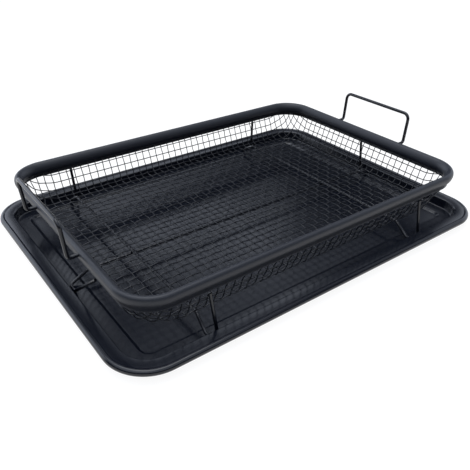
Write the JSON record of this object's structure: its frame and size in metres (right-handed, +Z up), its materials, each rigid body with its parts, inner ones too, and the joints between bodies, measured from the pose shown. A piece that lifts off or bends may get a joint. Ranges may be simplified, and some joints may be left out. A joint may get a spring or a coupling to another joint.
{
  "type": "mesh baking basket",
  "caption": "Non-stick woven wire baking basket with a rolled rim, bent wire legs and upright end handles, standing in a shallow drip tray",
  "frame": {"origin": "on the surface it stands on, under the middle of the drip tray", "axes": "X along the long side from the left handle to the right one, Y along the short side, Z up"},
  "size_m": [0.3234, 0.2388, 0.0688],
  "materials": {
    "tray_coating": "satin black non-stick coating on pressed steel",
    "rim_coating": "satin black non-stick coating on rolled steel strip",
    "mesh_coating": "satin black non-stick coating on woven steel wire",
    "wire_coating": "satin black non-stick coating on bent steel wire"
  },
  "bodies": {
    "root": {"drip_tray": "tray_coating", "basket_rim": "rim_coating", "mesh_basket": "mesh_coating", "cross_wire_left": "wire_coating", "cross_wire_right": "wire_coating", "long_wire": "wire_coating", "handle_left": "wire_coating", "handle_right": "wire_coating"}
  },
  "joints": []
}
